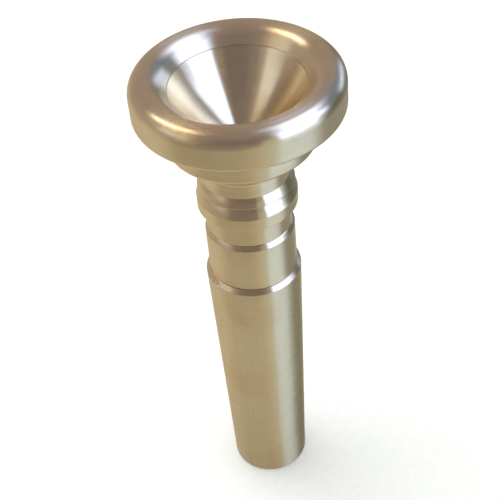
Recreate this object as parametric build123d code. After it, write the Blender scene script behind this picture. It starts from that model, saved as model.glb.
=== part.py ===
from build123d import *
import math
import os

# A take-apart brass mouthpiece: a screw-on rim, a cup with its neck, a backbore stem and a tapered
# shank sleeve. Every piece is turned about the Z axis. Sizes are in millimetres. The origin is the
# centre of the shank's small end, and +Z runs up the air passage to the rim.

# Rim
RIM_RADIUS = 13.5                # outside of the band
RIM_TOP = 72.4                   # highest point, so the length of the whole mouthpiece
RIM_BOTTOM = 67.6                # underside, where the rim seats on the cup's flange
RIM_SHOULDER = 1.7               # rounding from the band to the crest
RIM_LOWER_ROUND = 0.5            # rounding of the band's lower corner
CREST_INNER_ROUND = 2.3          # rounding from the crest down into the cup
BITE_SLOPE = 47.0                # degrees from level, where the rim hands over to the cup wall
PARTING_RADIUS = 8.64            # the fine joint line inside the cup
PARTING_HEIGHT = 70.7

# Thread zone between the rim and the cup
SPIGOT_RADIUS = 9.7
FLANGE_RADIUS = 10.3
FLANGE_DEPTH = 0.8

# Cup
CUP_WALL_RADIUS = 9.72           # the ring-like wall below the rim
CUP_WALL_BOTTOM = 62.85
CUP_TOP_SLOPE = 58.0             # degrees from level, where the funnel's wall leaves the rim
CUP_BOTTOM_SLOPE = 46.5          # degrees from level, where it meets the throat
CUP_SWEEP_RADIUS = 38.0          # gentle hollow curve between the two
THROAT_RADIUS = 1.95
THROAT_TOP = 62.3
THROAT_BOTTOM = 57.5

# Neck and bead. The bead is two facets, one above the other, that lean the same way.
NECK_RADIUS = 5.8
NECK_TOP = 59.5
FACET_LEAN = 29.0                # degrees from upright
FACET_CROWN = 0.04               # how far a facet's middle bulges out
UPPER_LIP_RADIUS = 6.5           # widest place of the upper facet
UPPER_LIP = 55.9
FACET_STEP = 0.15                # height of the step in, from the upper lip to the lower facet
BEAD_RADIUS = 6.72               # widest place of the lower facet, and of the whole bead
LOWER_LIP = 54.2
BEAD_BOTTOM = 52.4
LOWER_NECK_RADIUS = 5.75         # also the top edge of the collar below

# Stem: the collar with its socket, and the tail tube inside the shank
COLLAR_TOP = 48.85
COLLAR_RADIUS = 6.08
COLLAR_BEVEL = 0.65              # height of the bevel at the collar's top
COLLAR_BOTTOM = 41.22
TENON_RADIUS = 4.2
TENON_LENGTH = 6.5
SOCKET_SPARE_DEPTH = 0.3
TAIL_RADIUS = 5.0
TAIL_END = 0.2                   # the tail stops just inside the sleeve's end

# Shank sleeve, with the 1:20 taper that instrument receivers have
SHANK_END_RADIUS = 5.61
SHANK_TAPER = 1.0 / 20.0         # change of diameter per length
SLEEVE_TOP = 41.2
SLEEVE_BEVEL = 0.6
SLEEVE_TOP_RADIUS = 6.1
SHANK_END_ROUND = 0.25

# Air passage and fits
BACKBORE_END_RADIUS = 4.3        # at the shank's end
RUNNING_CLEARANCE = 0.04         # on the radius, wherever one piece slides in another
SEAT_GAP = 0.03                  # fine joint line between two seating faces
EDGE_BREAK = 0.25                # small bevels at sharp hidden edges
RELIEF_DEPTH = 0.3               # thread run-out groove
RELIEF_WIDTH = 0.5
FINE_ROUND = 0.12                # small roundings on visible edges
FACET_ROUND = 3.0                # gentle rounding along the bead's facets


def slope_run(height, degrees):
    """How far out a line at that angle from level travels while it rises by height."""
    return height / math.tan(math.radians(degrees))


def bore_radius(height):
    """Radius of the backbore, which opens evenly from the throat to the shank's end."""
    share = (THROAT_BOTTOM - height) / THROAT_BOTTOM
    return THROAT_RADIUS + share * (BACKBORE_END_RADIUS - THROAT_RADIUS)


def facet(lip_radius, lip, top):
    """Corners of one facet of the bead, from its top down to its lip, a little crowned between."""
    lean = math.radians(FACET_LEAN)
    top_radius = lip_radius - (top - lip) * math.tan(lean)
    middle_radius = (top_radius + lip_radius) / 2 + FACET_CROWN * math.cos(lean)
    middle = (top + lip) / 2 + FACET_CROWN * math.sin(lean)
    return [(top_radius, top), (middle_radius, middle, FACET_ROUND), (lip_radius, lip, FINE_ROUND)]


def turned(outline):
    """Turn a closed outline about the Z axis.

    Each corner is (radius, height), or (radius, height, rounding)."""
    corners = [(corner[0], corner[1]) for corner in outline]
    face = make_face(Polyline(*corners, close=True))
    for corner in outline:
        if len(corner) == 3:
            sharp = face.vertices().sort_by_distance((corner[0], corner[1], 0))[0]
            face = fillet(sharp, corner[2])
    return revolve(Plane.XZ * face, Axis.Z)


def rim_ring():
    """Screw-on rim: flat band, rounded crest, and the slope that leads into the cup."""
    socket = SPIGOT_RADIUS + RUNNING_CLEARANCE
    bite = PARTING_RADIUS + slope_run(RIM_TOP - PARTING_HEIGHT, BITE_SLOPE)
    return turned([
        (socket + EDGE_BREAK, RIM_BOTTOM),
        (RIM_RADIUS, RIM_BOTTOM, RIM_LOWER_ROUND),
        (RIM_RADIUS, RIM_TOP, RIM_SHOULDER),
        (bite, RIM_TOP, CREST_INNER_ROUND),
        (PARTING_RADIUS, PARTING_HEIGHT),
        (socket, PARTING_HEIGHT),
        (socket, RIM_BOTTOM + EDGE_BREAK),
    ])


def funnel_corner():
    """Where the slope below the rim and the slope above the throat would meet."""
    upper = math.tan(math.radians(CUP_TOP_SLOPE))
    lower = math.tan(math.radians(CUP_BOTTOM_SLOPE))
    rise = PARTING_HEIGHT - THROAT_TOP - upper * PARTING_RADIUS + lower * THROAT_RADIUS
    radius = rise / (lower - upper)
    return radius, THROAT_TOP + lower * (radius - THROAT_RADIUS)


def cup_body():
    """Cup, neck and bead in one piece, with the rim's spigot above and the stem's tenon below."""
    spigot_top = PARTING_HEIGHT - SEAT_GAP
    spigot_inside = PARTING_RADIUS - slope_run(SEAT_GAP, CUP_TOP_SLOPE)
    flange_top = RIM_BOTTOM - SEAT_GAP
    tenon_end = COLLAR_TOP - TENON_LENGTH
    neck_end = COLLAR_TOP + SEAT_GAP
    sweep_radius, sweep_height = funnel_corner()
    bead_top = UPPER_LIP + (UPPER_LIP_RADIUS - NECK_RADIUS) / math.tan(math.radians(FACET_LEAN))
    return turned([
        # threaded spigot and the flange that the rim seats on
        (spigot_inside, spigot_top),
        (SPIGOT_RADIUS - EDGE_BREAK, spigot_top),
        (SPIGOT_RADIUS, spigot_top - EDGE_BREAK),
        (SPIGOT_RADIUS, flange_top + RELIEF_WIDTH),
        (SPIGOT_RADIUS - RELIEF_DEPTH, flange_top + RELIEF_WIDTH),
        (SPIGOT_RADIUS - RELIEF_DEPTH, flange_top),
        (FLANGE_RADIUS, flange_top),
        (FLANGE_RADIUS, flange_top - FLANGE_DEPTH, EDGE_BREAK),
        (CUP_WALL_RADIUS, flange_top - FLANGE_DEPTH, EDGE_BREAK),
        # wall of the cup, and the cone down to the neck
        (CUP_WALL_RADIUS, CUP_WALL_BOTTOM, 2 * EDGE_BREAK),
        (NECK_RADIUS, NECK_TOP, 4 * EDGE_BREAK),
        # bead: two stacked facets, and an undercut below
        *facet(UPPER_LIP_RADIUS, UPPER_LIP, bead_top),
        *facet(BEAD_RADIUS, LOWER_LIP, UPPER_LIP - FACET_STEP),
        (BEAD_RADIUS, BEAD_BOTTOM, EDGE_BREAK),
        (LOWER_NECK_RADIUS, BEAD_BOTTOM - (BEAD_RADIUS - LOWER_NECK_RADIUS) / 2, EDGE_BREAK),
        (LOWER_NECK_RADIUS, neck_end + FINE_ROUND),
        (LOWER_NECK_RADIUS - FINE_ROUND, neck_end),
        # threaded tenon
        (TENON_RADIUS, neck_end),
        (TENON_RADIUS, tenon_end + EDGE_BREAK),
        (TENON_RADIUS - EDGE_BREAK, tenon_end),
        # backbore, throat and funnel
        (bore_radius(tenon_end), tenon_end),
        (THROAT_RADIUS, THROAT_BOTTOM),
        (THROAT_RADIUS, THROAT_TOP, 2 * EDGE_BREAK),
        (sweep_radius, sweep_height, CUP_SWEEP_RADIUS),
    ])


def backbore_stem():
    """Collar with the socket for the cup's tenon, and the tail tube that runs down the shank."""
    socket = TENON_RADIUS + RUNNING_CLEARANCE
    socket_floor = COLLAR_TOP - TENON_LENGTH - SOCKET_SPARE_DEPTH
    return turned([
        (socket + EDGE_BREAK, COLLAR_TOP),
        (LOWER_NECK_RADIUS - FINE_ROUND, COLLAR_TOP),
        (LOWER_NECK_RADIUS, COLLAR_TOP - FINE_ROUND),
        (COLLAR_RADIUS, COLLAR_TOP - COLLAR_BEVEL),
        (COLLAR_RADIUS, COLLAR_BOTTOM, FINE_ROUND),
        (TAIL_RADIUS, COLLAR_BOTTOM),
        (TAIL_RADIUS, TAIL_END + EDGE_BREAK),
        (TAIL_RADIUS - EDGE_BREAK, TAIL_END),
        (bore_radius(TAIL_END), TAIL_END),
        (bore_radius(socket_floor), socket_floor),
        (socket, socket_floor),
        (socket, COLLAR_TOP - EDGE_BREAK),
    ])


def shank_sleeve():
    """Tapered tube that wedges into the instrument, slipped over the stem's tail."""
    bore = TAIL_RADIUS + RUNNING_CLEARANCE
    bevel_bottom = SLEEVE_TOP - SLEEVE_BEVEL
    return turned([
        (bore + EDGE_BREAK, SLEEVE_TOP),
        (SLEEVE_TOP_RADIUS, SLEEVE_TOP),
        (SHANK_END_RADIUS + SHANK_TAPER / 2 * bevel_bottom, bevel_bottom, FINE_ROUND),
        (SHANK_END_RADIUS, 0, SHANK_END_ROUND),
        (bore, 0),
        (bore, SLEEVE_TOP - EDGE_BREAK),
    ])


os.makedirs("parts", exist_ok=True)
for build_piece in (rim_ring, cup_body, backbore_stem, shank_sleeve):
    export_step(build_piece(), "parts/" + build_piece.__name__ + ".step")
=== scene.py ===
"""Looks for a take-apart brass mouthpiece: turned pieces, raw brass, and a soft studio around them.

Each piece is lathed again from its CAD node's own outline, with finer curves, softened edges,
turning marks and screw threads. Everything is in metres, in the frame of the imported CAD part:
Z is the axis of the air passage and the shank's small end rests at zero.
"""

import math

import bpy
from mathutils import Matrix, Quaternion, Vector


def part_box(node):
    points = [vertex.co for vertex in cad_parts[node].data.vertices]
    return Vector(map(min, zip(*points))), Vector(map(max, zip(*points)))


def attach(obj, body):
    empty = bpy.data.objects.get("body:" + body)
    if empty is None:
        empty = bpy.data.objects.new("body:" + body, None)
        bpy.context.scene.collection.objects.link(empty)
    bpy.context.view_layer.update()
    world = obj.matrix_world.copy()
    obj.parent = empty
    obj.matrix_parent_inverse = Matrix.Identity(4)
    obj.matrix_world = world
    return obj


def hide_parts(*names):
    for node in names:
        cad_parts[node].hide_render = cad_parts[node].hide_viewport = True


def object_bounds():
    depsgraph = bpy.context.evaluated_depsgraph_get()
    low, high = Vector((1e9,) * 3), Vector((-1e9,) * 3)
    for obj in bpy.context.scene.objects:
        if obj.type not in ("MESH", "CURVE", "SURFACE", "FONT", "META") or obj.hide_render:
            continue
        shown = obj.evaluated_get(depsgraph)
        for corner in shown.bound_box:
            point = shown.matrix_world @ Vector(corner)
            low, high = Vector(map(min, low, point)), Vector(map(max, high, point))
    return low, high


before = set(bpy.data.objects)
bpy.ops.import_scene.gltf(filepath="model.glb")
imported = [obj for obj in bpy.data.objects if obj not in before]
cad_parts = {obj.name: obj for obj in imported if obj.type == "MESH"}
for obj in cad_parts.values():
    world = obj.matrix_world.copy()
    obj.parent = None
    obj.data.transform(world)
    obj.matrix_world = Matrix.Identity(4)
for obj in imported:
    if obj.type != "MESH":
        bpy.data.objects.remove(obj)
cad_low, cad_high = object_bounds()

MM = 0.001
LENGTH = cad_high.z - cad_low.z
RADIUS = (cad_high.x - cad_low.x) / 2

# Lathe
SEGMENTS = 192                   # flats round a full turn
CORNER_ANGLE = 20.0              # an outline that turns more than this at a point has an edge there
EDGE_SOFTNESS = 0.05 * MM        # rounding of those edges, as deburring leaves it
EDGE_STEPS = 3                   # short chords that make up the rounding of one edge
CURVE_STEP = 0.12 * MM           # spacing of rings on curved stretches
WALL_STEP = 0.2 * MM             # spacing of rings on straight stretches that can be seen
BORE_STEP = 1.0 * MM             # spacing of rings on straight stretches deep inside a bore
EDGE_SUPPORT = 0.03 * MM         # extra ring this far from an edge, which keeps the wall's shading flat
WALL_RATIO = 1.8                 # a stretch this much longer than a neighbour is a wall, not a chord
SAME_RADIUS = 0.001 * MM         # points of an outline this close in radius are on one upright wall
ON_CUT = 1e-7                    # a vertex this close to the plane y = 0 is on the outline

# Turning marks that the cutting tool leaves: three ripples, each given by its wavelength over 2 pi
FINE_MARK = 0.071 * MM
SECOND_MARK = 0.113 * MM
SLOW_MARK = 0.61 * MM
MARK_HEIGHT = 0.001 * MM

# Screw threads
PITCH = 0.8 * MM
THREAD_DEPTH = 0.32 * MM
ON_THREAD = 0.002 * MM           # a point this close to the thread's radius is on its wall


# ---------------------------------------------------------------- outlines

def meridian(node):
    """The node's outline in the half plane y = 0, x > 0: an ordered loop of (radius, height)."""
    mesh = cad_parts[node].data
    on_plane = {}
    for vertex in mesh.vertices:
        if vertex.co.x > 0 and abs(vertex.co.y) < ON_CUT:
            on_plane[vertex.index] = (round(vertex.co.x, 7), round(vertex.co.z, 7))
    links = {}
    for edge in mesh.edges:
        a, b = (on_plane.get(index) for index in edge.vertices)
        if a and b and a != b:
            links.setdefault(a, set()).add(b)
            links.setdefault(b, set()).add(a)
    start = min(links, key=lambda point: (point[1], -point[0]))
    loop = [start]
    ahead = max(links[start])
    while ahead != start:
        loop.append(ahead)
        ahead = next(point for point in sorted(links[ahead]) if point != loop[-2])
    return [Vector(point) for point in loop]


def turn_angle(before, here, after):
    """Degrees by which an outline changes direction at a point."""
    return math.degrees(abs((here - before).angle_signed(after - here)))


def softened(loop):
    """The loop with each sharp corner replaced by a small rounding."""
    points = []
    count = len(loop)
    for index, here in enumerate(loop):
        before = loop[index - 1]
        after = loop[(index + 1) % count]
        turn = turn_angle(before, here, after)
        if turn < CORNER_ANGLE:
            points.append(here)
            continue
        reach = EDGE_SOFTNESS * math.tan(math.radians(turn) / 2)
        reach = min(reach, (here - before).length / 3, (after - here).length / 3)
        inward = here + (before - here).normalized() * reach
        onward = here + (after - here).normalized() * reach
        for step in range(EDGE_STEPS + 1):
            share = step / EDGE_STEPS
            first = inward.lerp(here, share)
            second = here.lerp(onward, share)
            points.append(first.lerp(second, share))
    return points


def straight(points, index):
    """Whether the stretch after a point is a straight wall and not a chord of a curve."""
    count = len(points)
    length = (points[(index + 1) % count] - points[index]).length
    neighbours = []
    for offset in (-1, 1):
        a = points[(index + offset) % count]
        b = points[(index + offset + 1) % count]
        neighbours.append((b - a).length)
    return length > WALL_RATIO * min(neighbours)


def refined(loop, bore_radius):
    """Finer outline: smooth curves through the loop's points, and evenly spaced rings on its walls.

    Walls that lie wholly nearer the axis than bore_radius get the wider spacing of a bore."""
    points = softened(loop)
    count = len(points)
    wall = [straight(points, index) for index in range(count)]
    out = []
    for index in range(count):
        here = points[index]
        there = points[(index + 1) % count]
        chord = there - here
        if wall[index]:
            step = BORE_STEP if max(here.x, there.x) < bore_radius else WALL_STEP
            out.extend(wall_rings(here, there, step))
            continue
        way_in = here - points[index - 1]
        way_out = points[(index + 2) % count] - there
        leave = tangent(way_in, chord, wall[index - 1])
        arrive = tangent(chord, way_out, wall[(index + 1) % count])
        out.extend(curve_rings(here, there, leave, arrive))
    return out


def tangent(before, after, one_is_wall):
    """Direction at a point between two stretches. Where a curve leaves a wall it is the wall's own."""
    first = before.normalized()
    second = after.normalized()
    if one_is_wall:
        return first if before.length > after.length else second
    return (first + second).normalized()


def wall_rings(here, there, step):
    """Points along a straight wall, with one close to each end."""
    length = (there - here).length
    support = min(EDGE_SUPPORT, length / 4)
    pieces = max(1, round((length - 2 * support) / step))
    shares = [0.0]
    for index in range(pieces + 1):
        shares.append((support + (length - 2 * support) * index / pieces) / length)
    return [here.lerp(there, share) for share in shares]


def curve_rings(here, there, leave, arrive):
    """Points along a cubic between two points with given directions at its ends."""
    length = (there - here).length
    pieces = max(2, math.ceil(length / CURVE_STEP))
    out = []
    for index in range(pieces):
        t = index / pieces
        basis = (2 * t**3 - 3 * t**2 + 1, t**3 - 2 * t**2 + t, 3 * t**2 - 2 * t**3, t**3 - t**2)
        ends = here * basis[0] + leave * (length * basis[1])
        out.append(ends + there * basis[2] + arrive * (length * basis[3]))
    return out


# ---------------------------------------------------------------- surface relief

def fade(value, low, high, width):
    """1 between low and high, falling to 0 over width inside both ends."""
    rise = min(max((value - low) / width, 0), 1)
    fall = min(max((high - value) / width, 0), 1)
    return min(rise, fall)


def turning_mark(distance):
    """Fine ridges that a cutting tool leaves, as a height in metres."""
    ripple = math.sin(distance / FINE_MARK) + 0.7 * math.sin(distance / SECOND_MARK + 1.3)
    drift = math.sin(distance / SLOW_MARK + 0.4)
    return (0.35 * ripple + 0.5 * drift) * MARK_HEIGHT


def thread(radius, low, high, sign):
    """Relief of a right-hand screw thread cut into the wall of that radius, between two heights.

    sign is -1 on a spigot, where the groove goes towards the axis, and 1 in a socket. The grooves of
    a joint never pass into the gap between its walls, so its pieces can slide straight apart."""
    def cut(point, angle):
        if abs(point.x - radius) > ON_THREAD:
            return 0.0
        phase = (point.y / PITCH - angle / math.tau) % 1.0
        tooth = 1 - abs(2 * phase - 1)
        shaped = min(max(1.5 * tooth - 0.25, 0), 1)
        return sign * THREAD_DEPTH * shaped * fade(point.y, low, high, PITCH)
    return cut


# ---------------------------------------------------------------- lathe

def lathe(name, outline, cuts=()):
    """Closed ring of quads: an outline carried round the Z axis.

    Each cut(point, angle) is added to the radius there."""
    count = len(outline)
    area = sum(outline[i - 1].x * outline[i].y - outline[i].x * outline[i - 1].y for i in range(count))
    if area < 0:
        outline = outline[::-1]      # so that the faces point out of the metal
    distance = 0.0
    marks = []
    for index, point in enumerate(outline):
        distance += (point - outline[index - 1]).length if index else 0.0
        marks.append(turning_mark(distance))
    vertices = []
    for step in range(SEGMENTS):
        angle = math.tau * step / SEGMENTS
        cosine = math.cos(angle)
        sine = math.sin(angle)
        for index, point in enumerate(outline):
            radius = point.x + marks[index] + sum(cut(point, angle) for cut in cuts)
            vertices.append((radius * cosine, radius * sine, point.y))
    faces = []
    for step in range(SEGMENTS):
        here = step * count
        there = (step + 1) % SEGMENTS * count
        for index in range(count):
            after = (index + 1) % count
            faces.append((here + index, there + index, there + after, here + after))
    mesh = bpy.data.meshes.new(name)
    mesh.from_pydata(vertices, [], faces)
    mesh.validate()
    mesh.polygons.foreach_set("use_smooth", [True] * len(mesh.polygons))
    mesh.update()
    piece = bpy.data.objects.new(name, mesh)
    bpy.context.scene.collection.objects.link(piece)
    return piece


def place(piece, node, body, material):
    """Let a lathed piece stand for its CAD node, on the same body."""
    piece.data.materials.append(material)
    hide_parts(node)
    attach(piece, body)


# ---------------------------------------------------------------- node helpers

def put(tree, kind, inputs=None, **settings):
    """Add a node of that kind. inputs holds a value or a socket for each input, by name or number."""
    node = tree.nodes.new(kind)
    for key, value in settings.items():
        setattr(node, key, value)
    for key, value in (inputs or {}).items():
        connect(tree, node.inputs[key], value)
    return node


def connect(tree, socket, value):
    """Feed an input from a socket, or set it to a value."""
    if isinstance(value, bpy.types.NodeSocket):
        tree.links.new(value, socket)
    elif isinstance(value, tuple) and len(value) == 3 and socket.type == "RGBA":
        socket.default_value = (*value, 1.0)
    else:
        socket.default_value = value


def calc(tree, operation, *values):
    """One arithmetic node. Returns its output."""
    node = tree.nodes.new("ShaderNodeMath")
    node.operation = operation
    for index, value in enumerate(values):
        connect(tree, node.inputs[index], value)
    return node.outputs[0]


def ramp(tree, value, low, high, start=0.0, end=1.0):
    """Smooth change from start to end as value goes from low to high."""
    inputs = {"Value": value, "From Min": low, "From Max": high, "To Min": start, "To Max": end}
    return put(tree, "ShaderNodeMapRange", inputs, interpolation_type="SMOOTHSTEP").outputs[0]


def blend(tree, share, first, second, mode="MIX"):
    """Mix two colours."""
    node = put(tree, "ShaderNodeMix", data_type="RGBA", blend_type=mode)
    connect(tree, node.inputs[0], share)
    connect(tree, node.inputs[6], first)
    connect(tree, node.inputs[7], second)
    return node.outputs[2]


# ---------------------------------------------------------------- the studio that the brass reflects

BRASS = (0.85, 0.75, 0.57)       # how much red, green and blue the polished metal reflects


def linear(value):
    """Light of a display value between 0 and 1."""
    return value / 12.92 if value <= 0.04045 else ((value + 0.055) / 1.055) ** 2.4


def seen(red, green, blue, gain=1.0):
    """The surrounding light that brass shows as that display colour."""
    return tuple(gain * linear(value) / metal for value, metal in zip((red, green, blue), BRASS))


# Daylight through the windows. It is blue enough to look neutral after two reflections in brass.
WINDOW = seen(0.91, 0.94, 1.00, 1.8)

# Soft boxes, cards and shade round the object. Azimuth 0 is on the camera's side (-Y) and 90 is at +X.
# Each is (azimuth, half width, softness, elevation, half height, softness, light), in degrees.
# A later one lies over those before it.
SURROUNDINGS = [
    # the table, darker and browner towards the camera's left
    (-35, 45, 22, -17, 24, 4, seen(0.54, 0.475, 0.36)),
    # right: grey-brown room, dark olive in its middle, and the window's pale shine on the table
    (122, 42, 8, -7, 28, 8, seen(0.47, 0.43, 0.35)),
    (118, 25, 8, -1, 13, 7, seen(0.34, 0.35, 0.28)),
    (114, 33, 6, -60, 20, 8, seen(0.44, 0.395, 0.26)),
    (59, 25, 7, -26, 37, 9, seen(0.78, 0.78, 0.71)),
    # right and behind: blue-grey shade between the windows, over a pale patch of wall
    (130, 32, 8, 34, 14, 7, seen(0.42, 0.45, 0.48)),
    (135, 14, 5, 12, 9, 4, seen(0.88, 0.90, 0.94)),
    # the large window on the right, dimmer at its top corner, and the part that reaches round behind
    (56, 16, 6, 56, 9, 5, seen(0.76, 0.79, 0.86)),
    (57, 21, 3, 13, 10, 3, WINDOW),
    (69, 31, 4, 34, 14, 4, WINDOW),
    (116, 48, 9, 60, 11, 7, WINDOW),
    # the camera side is in shade, darkest half way up, with a lighter strip beside the window
    (-6, 38, 5, 27, 35, 7, seen(0.49, 0.42, 0.35)),
    (-3, 25, 7, 36, 13, 6, seen(0.41, 0.355, 0.31)),
    (26, 8, 4, -12, 34, 6, seen(0.70, 0.66, 0.53)),
    # left: a soft light, with a golden glow over it
    (-76, 18, 8, 42, 9, 5, seen(0.74, 0.64, 0.45)),
    (-75, 18, 6, 28, 7, 4, seen(0.93, 0.88, 0.78)),
    # left and behind, high: the glow of a warm lamp, and the lamp
    (-130, 34, 14, 59, 7, 5, seen(0.80, 0.66, 0.46)),
    (-138, 5, 3, 56, 10, 5, seen(1.00, 0.89, 0.70, 8.0)),
]

# What lies under the soft boxes: a table, tan on the left and paler on the right, in a dim room.
TABLE_LEFT = seen(0.74, 0.66, 0.50)
TABLE_RIGHT = seen(0.72, 0.70, 0.60)
TABLE_TURNS = (0.1, 0.8)         # sideways part of the direction over which it goes from left to right
TABLE_ENDS = (-12.0, 2.0)        # elevations over which the table gives way to the room
HORIZON = seen(0.63, 0.54, 0.435)
OVERHEAD = seen(0.53, 0.45, 0.385)
OVERHEAD_FROM = 65.0             # elevation


def surroundings(tree, direction):
    """Light that arrives from a direction, as a colour: the soft boxes over a plain room and table."""
    parts = put(tree, "ShaderNodeSeparateXYZ", {"Vector": direction})
    x, y, z = parts.outputs
    azimuth = calc(tree, "ARCTAN2", x, calc(tree, "MULTIPLY", y, -1.0))
    elevation = calc(tree, "DEGREES", calc(tree, "ARCSINE", z))
    light = blend(tree, ramp(tree, elevation, 0.0, OVERHEAD_FROM), HORIZON, OVERHEAD)
    table = blend(tree, ramp(tree, x, *TABLE_TURNS), TABLE_LEFT, TABLE_RIGHT)
    light = blend(tree, ramp(tree, elevation, *TABLE_ENDS, 1.0, 0.0), light, table)
    for side, half_width, side_blur, height, half_height, height_blur, colour in SURROUNDINGS:
        off_side = calc(tree, "COSINE", calc(tree, "SUBTRACT", azimuth, math.radians(side)))
        off_side = calc(tree, "DEGREES", calc(tree, "ARCCOSINE", off_side))
        off_height = calc(tree, "ABSOLUTE", calc(tree, "SUBTRACT", elevation, float(height)))
        across = ramp(tree, off_side, half_width - side_blur, half_width + side_blur, 1.0, 0.0)
        up = ramp(tree, off_height, half_height - height_blur, half_height + height_blur, 1.0, 0.0)
        light = blend(tree, calc(tree, "MULTIPLY", across, up), light, colour)
    return light


BACKDROP = (0.93, 0.94, 0.925)
PAPER = (0.90, 0.91, 0.895)
PAPER_FIBRES = (0.93, 0.935, 0.92)
PAPER_GRAIN = 900.0              # fibres to a metre
CONTACT_PAINTED_SHADOW = 0.85             # painted shadow: light of the table close to the shank's end, darkened where the shank would shade it
CONTACT_REACH = (0.4 * RADIUS, 2.2 * RADIUS)
FLOOR_FADE = (2 * LENGTH, 8 * LENGTH)
FLOOR_GAP = 0.02 * MM            # keeps the floor and the shank's end out of one plane


def studio_world():
    """World light: the soft boxes for reflections, and plain pale light for everything else."""
    world = bpy.data.worlds.new("studio")
    world.use_nodes = True
    tree = world.node_tree
    tree.nodes.clear()
    direction = put(tree, "ShaderNodeTexCoord").outputs["Generated"]
    path = put(tree, "ShaderNodeLightPath")
    light = blend(tree, path.outputs["Is Glossy Ray"], BACKDROP, surroundings(tree, direction))
    background = put(tree, "ShaderNodeBackground", {"Color": light, "Strength": 1.0})
    output = put(tree, "ShaderNodeOutputWorld")
    connect(tree, output.inputs["Surface"], background.outputs[0])
    bpy.context.scene.world = world


def floor_material():
    """Pale paper for the camera. For the brass it glows instead with the tan table's light, with a painted
    shadow round the shank's end.

    It is clear from below, so that a camera down there sees the object's end."""
    material = bpy.data.materials.new("pale_floor")
    material.use_nodes = True
    tree = material.node_tree
    tree.nodes.clear()
    geometry = put(tree, "ShaderNodeNewGeometry")
    away = put(tree, "ShaderNodeVectorMath", {0: geometry.outputs["Incoming"]}, operation="SCALE")
    away.inputs["Scale"].default_value = -1.0
    place_xyz = put(tree, "ShaderNodeSeparateXYZ", {"Vector": geometry.outputs["Position"]})
    across = calc(tree, "MULTIPLY", place_xyz.outputs[0], place_xyz.outputs[0])
    along = calc(tree, "MULTIPLY", place_xyz.outputs[1], place_xyz.outputs[1])
    distance = calc(tree, "SQRT", calc(tree, "ADD", across, along))
    # painted shadow round the shank's end, in the glow that the brass reflects
    shade = ramp(tree, distance, *CONTACT_REACH, CONTACT_PAINTED_SHADOW, 1.0)
    reflected = blend(tree, 1.0, surroundings(tree, away.outputs[0]), shade, "MULTIPLY")
    seen_by_brass = put(tree, "ShaderNodeEmission", {"Color": reflected})
    grain = put(tree, "ShaderNodeTexNoise", {"Vector": geometry.outputs["Position"], "Scale": PAPER_GRAIN})
    paper = blend(tree, ramp(tree, grain.outputs[0], 0.3, 0.7), PAPER, PAPER_FIBRES)
    pale = put(tree, "ShaderNodeBsdfDiffuse", {"Color": paper})
    backdrop = put(tree, "ShaderNodeEmission", {"Color": BACKDROP})
    far = ramp(tree, distance, *FLOOR_FADE)
    seamless = put(tree, "ShaderNodeMixShader", {0: far, 1: pale.outputs[0], 2: backdrop.outputs[0]})
    path = put(tree, "ShaderNodeLightPath")
    chosen = {0: path.outputs["Is Glossy Ray"], 1: seamless.outputs[0], 2: seen_by_brass.outputs[0]}
    mixed = put(tree, "ShaderNodeMixShader", chosen)
    clear = put(tree, "ShaderNodeBsdfTransparent")
    sides = {0: geometry.outputs["Backfacing"], 1: mixed.outputs[0], 2: clear.outputs[0]}
    one_sided = put(tree, "ShaderNodeMixShader", sides)
    put(tree, "ShaderNodeOutputMaterial", {"Surface": one_sided.outputs[0]})
    return material


def studio_floor():
    """Plain pale floor just under the shank's end."""
    half = 40 * LENGTH
    mesh = bpy.data.meshes.new("studio_floor")
    level = cad_low.z - FLOOR_GAP
    corners = [(-half, -half, level), (half, -half, level), (half, half, level), (-half, half, level)]
    mesh.from_pydata(corners, [], [(0, 1, 2, 3)])
    mesh.materials.append(floor_material())
    floor = bpy.data.objects.new("studio_floor", mesh)
    bpy.context.scene.collection.objects.link(floor)


def studio_light():
    """One large soft lamp overhead, slightly behind on the left, for the floor's soft shadow."""
    lamp = bpy.data.lights.new("soft_lamp", "AREA")
    lamp.shape = "DISK"
    lamp.size = 5 * LENGTH
    lamp.energy = 0.9
    holder = bpy.data.objects.new("soft_lamp", lamp)
    holder.location = (-2 * LENGTH, 1.5 * LENGTH, 6 * LENGTH)
    holder.rotation_mode = "QUATERNION"
    holder.rotation_quaternion = (-holder.location).to_track_quat("-Z", "Y")
    holder.visible_glossy = False
    holder.visible_camera = False
    bpy.context.scene.collection.objects.link(holder)


# ---------------------------------------------------------------- brass

# Colours that the surface takes in places
DULL_BRASS = (0.78, 0.60, 0.36)
MOTTLED_BRASS = (0.70, 0.56, 0.38)
RING_BRASS = (0.93, 0.82, 0.60)
RUBBED_BRASS = (0.95, 0.85, 0.62)
WORN_BRASS = (0.97, 0.88, 0.68)
# painted shade, laid into seams and corners
PAINTED_SEAM_SHADE = (0.16, 0.11, 0.06)

# Fineness of the patterns, per metre
FINE_RINGS = 9000.0
COARSE_RINGS = 1800.0
CLOUDS = 95.0
MOTTLE = 700.0
RUB_LENGTH = 120.0
RUB_LINES = 26.0                 # round the axis, so this one has no unit

PAINTED_SHADE_REACH = 0.5 * MM            # how far from a corner its painted shade reaches
DULL_ROUGHNESS = 0.10            # added where the surface has dulled
RING_ROUGHNESS = 0.10            # spread of the fine rings' gloss
WORN_POLISH = 0.06               # taken off on worn edges
MICROMETRE = 0.001 * MM


def around_axis(tree):
    """Sockets for a surface point: coordinates, then radius, height, cosine and sine about the axis."""
    coordinates = put(tree, "ShaderNodeTexCoord").outputs["Object"]
    parts = put(tree, "ShaderNodeSeparateXYZ", {"Vector": coordinates})
    x, y, z = parts.outputs
    squares = calc(tree, "ADD", calc(tree, "MULTIPLY", x, x), calc(tree, "MULTIPLY", y, y))
    radius = calc(tree, "SQRT", squares)
    return coordinates, radius, z, calc(tree, "DIVIDE", x, radius), calc(tree, "DIVIDE", y, radius)


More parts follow.
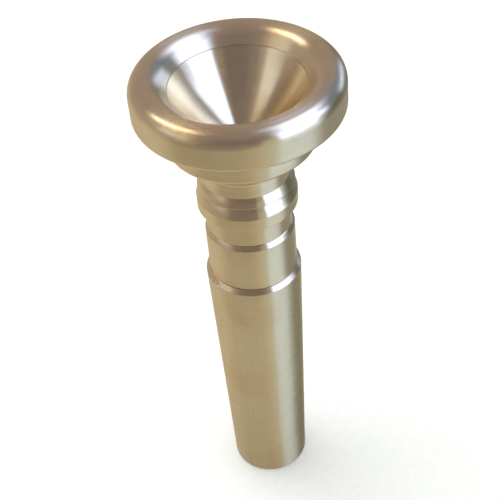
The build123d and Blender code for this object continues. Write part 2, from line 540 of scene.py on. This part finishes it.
def ring_noise(tree, around, scale, drift, detail=3.0):
    """Noise that is nearly the same all the way round, as turning marks are.

    drift is how much it changes on the way."""
    _, radius, height, cosine, sine = around
    place_xyz = put(tree, "ShaderNodeCombineXYZ")
    connect(tree, place_xyz.inputs[0], calc(tree, "MULTIPLY", radius, scale))
    connect(tree, place_xyz.inputs[1], calc(tree, "MULTIPLY", height, scale))
    connect(tree, place_xyz.inputs[2], calc(tree, "MULTIPLY", cosine, drift))
    inputs = {"Vector": place_xyz.outputs[0], "W": calc(tree, "MULTIPLY", sine, drift)}
    inputs.update({"Scale": 1.0, "Detail": detail, "Roughness": 0.6})
    return put(tree, "ShaderNodeTexNoise", inputs, noise_dimensions="4D").outputs[0]


def turned_brass(name, polish=0.21, grooves=0.06, tarnish=0.3, streaks=0.0, rings=0.12):
    """Raw brass straight from the lathe.

    polish is the roughness, grooves the depth of the fine rings in micrometres, tarnish how much
    of the surface has dulled, streaks the share of faint lengthwise handling marks, and rings the
    strength of the paler turned rings."""
    material = bpy.data.materials.new(name)
    material.use_nodes = True
    tree = material.node_tree
    tree.nodes.clear()
    around = around_axis(tree)
    spot = around[0]
    fine = ring_noise(tree, around, FINE_RINGS, 0.8)
    coarse = ring_noise(tree, around, COARSE_RINGS, 0.35, 2.0)
    cloud = put(tree, "ShaderNodeTexNoise", {"Vector": spot, "Scale": CLOUDS, "Detail": 4.0}).outputs[0]
    mottle = put(tree, "ShaderNodeTexNoise", {"Vector": spot, "Scale": MOTTLE, "Detail": 3.0}).outputs[0]

    # colour: clean metal, warmer dull clouds, painted shade in seams and corners, and brighter worn edges
    dull = calc(tree, "MULTIPLY", ramp(tree, cloud, 0.42, 0.66), tarnish)
    colour = blend(tree, dull, BRASS, DULL_BRASS)
    colour = blend(tree, ramp(tree, mottle, 0.5, 0.75, 0.0, 0.16), colour, MOTTLED_BRASS)
    colour = blend(tree, ramp(tree, coarse, 0.35, 0.7, 0.0, rings), colour, RING_BRASS)
    # painted shade: darker in seams and corners, where ambient occlusion finds the surface hidden
    seams = put(tree, "ShaderNodeAmbientOcclusion", {"Distance": PAINTED_SHADE_REACH}, samples=6)
    painted_seam_shade = ramp(tree, seams.outputs["AO"], 0.25, 0.75, 0.45, 0.0)
    colour = blend(tree, painted_seam_shade, colour, PAINTED_SEAM_SHADE)
    pointed = put(tree, "ShaderNodeNewGeometry").outputs["Pointiness"]
    worn = ramp(tree, pointed, 0.53, 0.62, 0.0, 0.5)
    colour = blend(tree, worn, colour, WORN_BRASS)

    # gloss: the fine rings vary it about polish, clouds dull it, and worn edges are the smoothest
    smoothest = polish - RING_ROUGHNESS / 2
    rough = calc(tree, "ADD", smoothest, calc(tree, "MULTIPLY", fine, RING_ROUGHNESS))
    rough = calc(tree, "ADD", rough, calc(tree, "MULTIPLY", dull, DULL_ROUGHNESS))
    rough = calc(tree, "SUBTRACT", rough, calc(tree, "MULTIPLY", worn, WORN_POLISH))

    # relief: fine rings and a few wider ones
    lines = calc(tree, "ADD", calc(tree, "MULTIPLY", fine, 0.6), coarse)
    depth = grooves * MICROMETRE
    bump = put(tree, "ShaderNodeBump", {"Height": lines, "Strength": 1.0, "Distance": depth})

    # rubbing: faint paler streaks along the tube
    if streaks:
        _, _, height, cosine, sine = around
        lengthwise = put(tree, "ShaderNodeCombineXYZ")
        connect(tree, lengthwise.inputs[0], calc(tree, "MULTIPLY", cosine, RUB_LINES))
        connect(tree, lengthwise.inputs[1], calc(tree, "MULTIPLY", sine, RUB_LINES))
        connect(tree, lengthwise.inputs[2], calc(tree, "MULTIPLY", height, RUB_LENGTH))
        rubbed = put(tree, "ShaderNodeTexNoise", {"Vector": lengthwise.outputs[0], "Scale": 1.0}).outputs[0]
        colour = blend(tree, ramp(tree, rubbed, 0.5, 0.7, 0.0, streaks), colour, RUBBED_BRASS)

    inputs = {
        "Base Color": colour,
        "Metallic": 1.0,
        "Roughness": rough,
        "Anisotropic": 0.95,
        "Anisotropic Rotation": 0.25,
        "Tangent": put(tree, "ShaderNodeTangent", direction_type="RADIAL", axis="Z").outputs[0],
        "Normal": bump.outputs[0],
    }
    shader = put(tree, "ShaderNodeBsdfPrincipled", inputs)
    put(tree, "ShaderNodeOutputMaterial", {"Surface": shader.outputs[0]})
    return material


# ---------------------------------------------------------------- the four pieces

LONG_WALL = 2 * MM               # an upright wall longer than this can hold a thread
PAST_FLANGE = 0.3 * MM           # above the rim's underside by this much, only the spigot is left
PAST_COLLAR = 0.5 * MM           # below the stem's top by this much, only the tenon is left


def innermost_wall(loop):
    """Radius of an outline's innermost long upright wall."""
    radii = []
    for index, here in enumerate(loop):
        there = loop[(index + 1) % len(loop)]
        if abs(here.x - there.x) < SAME_RADIUS and abs(here.y - there.y) > LONG_WALL:
            radii.append(here.x)
    return min(radii)


def wall_span(loop, radius, above=0.0):
    """Lowest and highest point of an outline's upright wall of that radius, above a height."""
    heights = [point.y for point in loop if abs(point.x - radius) < SAME_RADIUS and point.y > above]
    return min(heights), max(heights)


def screw_rim():
    """Rim with its internal thread."""
    loop = meridian("rim_ring")
    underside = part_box("rim_ring")[0].z
    socket = innermost_wall(loop)
    socket_top = wall_span(loop, socket)[1]
    cuts = [thread(socket, underside, socket_top, 1)]
    piece = lathe("screw_rim", refined(loop, bore_radius=0.0), cuts)
    material = turned_brass("rim_brass", polish=0.24, grooves=0.02)
    place(piece, "rim_ring", "rim", material)


def cup_and_neck():
    """Funnel cup, neck and bead, with the rim's thread above and the stem's thread below."""
    loop = meridian("cup_body")
    rim_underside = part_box("rim_ring")[0].z
    spigot = max(point.x for point in loop if point.y > rim_underside + PAST_FLANGE)
    spigot_low, spigot_high = wall_span(loop, spigot, rim_underside)
    stem_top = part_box("backbore_stem")[1].z
    tenon = max(point.x for point in loop if point.y < stem_top - PAST_COLLAR)
    tenon_low, tenon_high = wall_span(loop, tenon)
    cuts = [
        thread(spigot, spigot_low, spigot_high, -1),
        thread(tenon, tenon_low, tenon_high, -1),
    ]
    bore_radius = 0.6 * tenon
    piece = lathe("cup_and_neck", refined(loop, bore_radius), cuts)
    material = turned_brass("cup_brass", polish=0.20, grooves=0.09, rings=0.3)
    place(piece, "cup_body", "cup", material)


def backbore_tube():
    """Collar with its threaded socket, and the thin tail tube inside the shank."""
    loop = meridian("backbore_stem")
    cup_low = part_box("cup_body")[0].z
    socket = min(point.x for point in loop if point.y > cup_low)
    socket_low, socket_high = wall_span(loop, socket)
    bore_radius = 0.9 * socket
    cuts = [thread(socket, socket_low, socket_high, 1)]
    piece = lathe("backbore_tube", refined(loop, bore_radius), cuts)
    material = turned_brass("stem_brass", polish=0.22)
    place(piece, "backbore_stem", "stem", material)


def taper_sleeve():
    """Long tapered shank."""
    loop = meridian("shank_sleeve")
    bore_radius = min(point.x for point in loop) + 0.2 * MM
    piece = lathe("taper_sleeve", refined(loop, bore_radius))
    material = turned_brass("shank_brass", polish=0.25, grooves=0.02, tarnish=0.4, streaks=0.35)
    place(piece, "shank_sleeve", "sleeve", material)


# ---------------------------------------------------------------- camera

def main_camera():
    """A close view from in front and above, rolled a little, with the object off the picture's centre."""
    distance = 0.16681
    elevation = math.radians(46.144)
    aim = Vector((0.0, 0.0, 0.41 * LENGTH))
    aim_right = math.radians(0.4526)
    aim_down = math.radians(3.3374)
    roll = math.radians(-5.405)
    camera = bpy.data.cameras.new("camera")
    camera.lens = 81.92
    camera.sensor_width = 36.0
    camera.clip_start = 0.005
    camera.clip_end = 100.0
    holder = bpy.data.objects.new("camera", camera)
    back = Vector((0.0, -math.cos(elevation), math.sin(elevation)))
    holder.location = aim + back * distance
    straight_at = (-back).to_track_quat("-Z", "Y")
    rolled = straight_at @ Quaternion((0.0, 0.0, 1.0), roll)
    seen_at = Vector((math.tan(aim_right), -math.tan(aim_down), -1.0))
    offset = seen_at.rotation_difference(Vector((0.0, 0.0, -1.0)))
    holder.rotation_mode = "QUATERNION"
    holder.rotation_quaternion = rolled @ offset
    bpy.context.scene.collection.objects.link(holder)
    bpy.context.scene.camera = holder


screw_rim()
cup_and_neck()
backbore_tube()
taper_sleeve()
studio_world()
studio_floor()
studio_light()
main_camera()
bpy.context.scene.view_settings.view_transform = "Standard"
